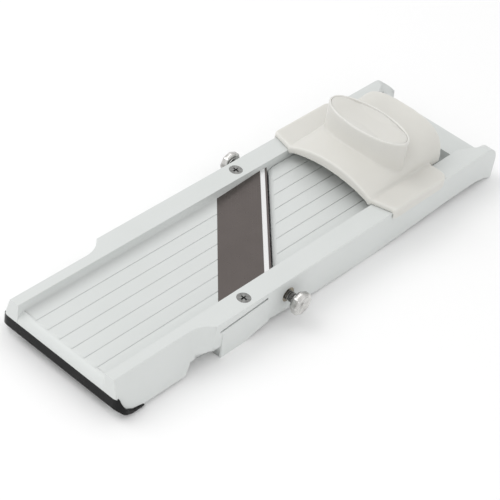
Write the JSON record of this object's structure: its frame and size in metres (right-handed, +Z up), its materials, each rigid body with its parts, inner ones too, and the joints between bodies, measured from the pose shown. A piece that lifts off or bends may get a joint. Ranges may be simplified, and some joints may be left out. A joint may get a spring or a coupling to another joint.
{
  "type": "mandoline slicer",
  "caption": "Flat board for slicing vegetables, with a diagonal fixed blade, a tilting feed ramp, side clamp screws and a sliding hand guard with a knob.",
  "frame": {"origin": "middle of the slicer's length and width, on the surface it stands on", "axes": "+X along the slicer from the rubber foot to the handle bar, +Y across it, +Z up"},
  "size_m": [0.322, 0.1126, 0.054],
  "materials": {
    "white_plastic": "semi-gloss cool white moulding",
    "frosted_plastic": "frosted, slightly see-through warm grey moulding",
    "black_rubber": "smooth black",
    "blade_steel": "ground flat with a bright ground bevel",
    "screw_steel": "bright plated",
    "thumb_steel": "turned and plated",
    "prong_steel": "satin stainless",
    "insert_brass": "turned",
    "dial_plastic": "satin light grey moulding"
  },
  "bodies": {
    "frame": {"frame": "white_plastic", "foot_strip": "black_rubber", "slicing_blade": "blade_steel", "blade_screws": "screw_steel", "blade_screw_inserts": "insert_brass", "clamp_screw_inserts": "insert_brass", "adjuster_bush": "insert_brass", "hinge_pin": "screw_steel"},
    "ramp": {"ramp": "white_plastic"},
    "thrust_pad": {"thrust_pad": "dial_plastic"},
    "adjuster": {"adjuster_screw": "screw_steel", "adjuster_dial": "dial_plastic", "dial_nut": "screw_steel"},
    "near_washer": {"near_thumb_washer": "screw_steel"},
    "near_clamp": {"near_thumb_screw": "thumb_steel"},
    "far_washer": {"far_thumb_washer": "screw_steel"},
    "far_clamp": {"far_thumb_screw": "thumb_steel"},
    "guard": {"guard_carriage": "frosted_plastic", "knob_cap": "frosted_plastic", "prong_plate": "prong_steel", "food_prongs": "prong_steel", "prong_plate_screws": "screw_steel"}
  },
  "joints": [
    {"name": "guard_slide", "type": "slide", "parent": "frame", "child": "guard", "axis": [-1, 0, 0], "range_m": [-0.015, 0.178]},
    {"name": "ramp_tilt", "type": "hinge", "parent": "frame", "child": "ramp", "pos_m": [0.106, 0, 0.0142], "axis": [0, -1, 0], "range_deg": [-0.3, 1.6]},
    {"name": "adjuster_lift", "type": "slide", "parent": "frame", "child": "thrust_pad", "axis": [0, 0, -1], "range_m": [-0.0005, 0.0018]},
    {"name": "adjuster_turn", "type": "hinge", "parent": "thrust_pad", "child": "adjuster", "pos_m": [0.047, 0, 0.01], "axis": [0, 0, -1], "range_deg": [-120, 600]},
    {"name": "near_clamp_travel", "type": "slide", "parent": "frame", "child": "near_washer", "axis": [0, 1, 0], "range_m": [-0.0015, 0.0045]},
    {"name": "near_clamp_turn", "type": "hinge", "parent": "near_washer", "child": "near_clamp", "pos_m": [-0.0335, -0.045, 0.0142], "axis": [0, 1, 0], "range_deg": [-360, 1080]},
    {"name": "far_clamp_travel", "type": "slide", "parent": "frame", "child": "far_washer", "axis": [0, -1, 0], "range_m": [-0.0015, 0.0045]},
    {"name": "far_clamp_turn", "type": "hinge", "parent": "far_washer", "child": "far_clamp", "pos_m": [0.027, 0.045, 0.0142], "axis": [0, -1, 0], "range_deg": [-360, 1080]}
  ],
  "couplings": [
    {"joint": "adjuster_lift", "follows": "ramp_tilt", "m_per_rad": 0.059},
    {"joint": "adjuster_turn", "follows": "ramp_tilt", "ratio": 370.71},
    {"joint": "near_clamp_travel", "follows": "near_clamp_turn", "m_per_rad": 0.00023873},
    {"joint": "far_clamp_travel", "follows": "far_clamp_turn", "m_per_rad": 0.00023873}
  ]
}
